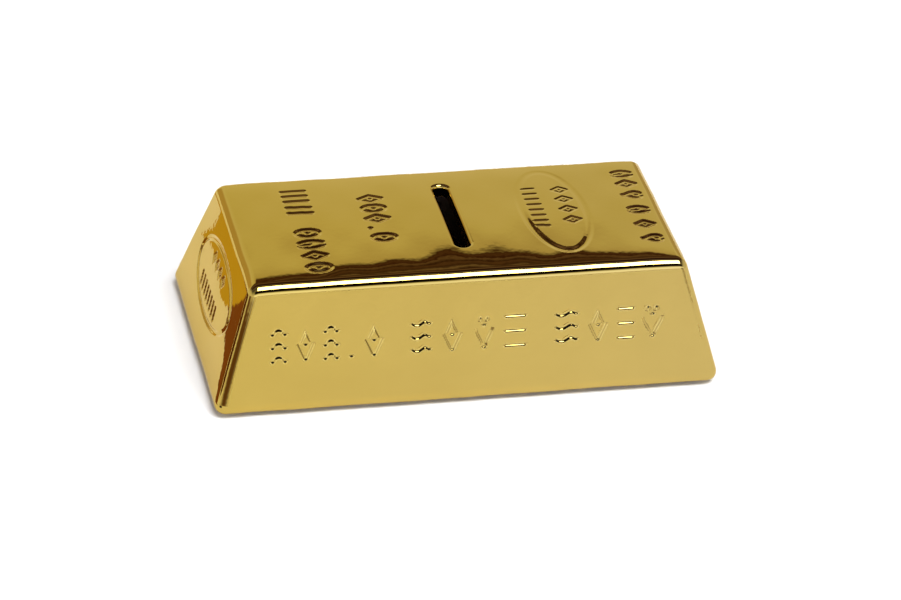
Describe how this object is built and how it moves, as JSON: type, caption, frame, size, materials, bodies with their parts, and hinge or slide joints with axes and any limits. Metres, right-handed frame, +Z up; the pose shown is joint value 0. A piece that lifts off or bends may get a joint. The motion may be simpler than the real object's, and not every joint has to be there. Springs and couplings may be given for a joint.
{
  "type": "money box",
  "caption": "Bar-shaped hollow ceramic money box with a coin slot in its crown and a soft round stopper in its base.",
  "frame": {"origin": "on the ground under the middle of the bar, in the plane of the foot pads' undersides", "axes": "+X along the bar's length, towards the end that is right of the slot in the front view; +Y from front to back, along the coin slot; +Z up"},
  "size_m": [0.172, 0.089, 0.046],
  "materials": {
    "gold_glaze": "polished",
    "stopper_rubber": "satin",
    "felt": "matte"
  },
  "bodies": {
    "bank": {"body_shell": "gold_glaze", "foot_pad_1": "felt", "foot_pad_2": "felt", "foot_pad_3": "felt", "foot_pad_4": "felt"},
    "plug": {"stopper": "stopper_rubber"}
  },
  "joints": [
    {"name": "stopper_pull", "type": "slide", "parent": "bank", "child": "plug", "axis": [0, 0, -1], "range_m": [0, 0.03]}
  ]
}
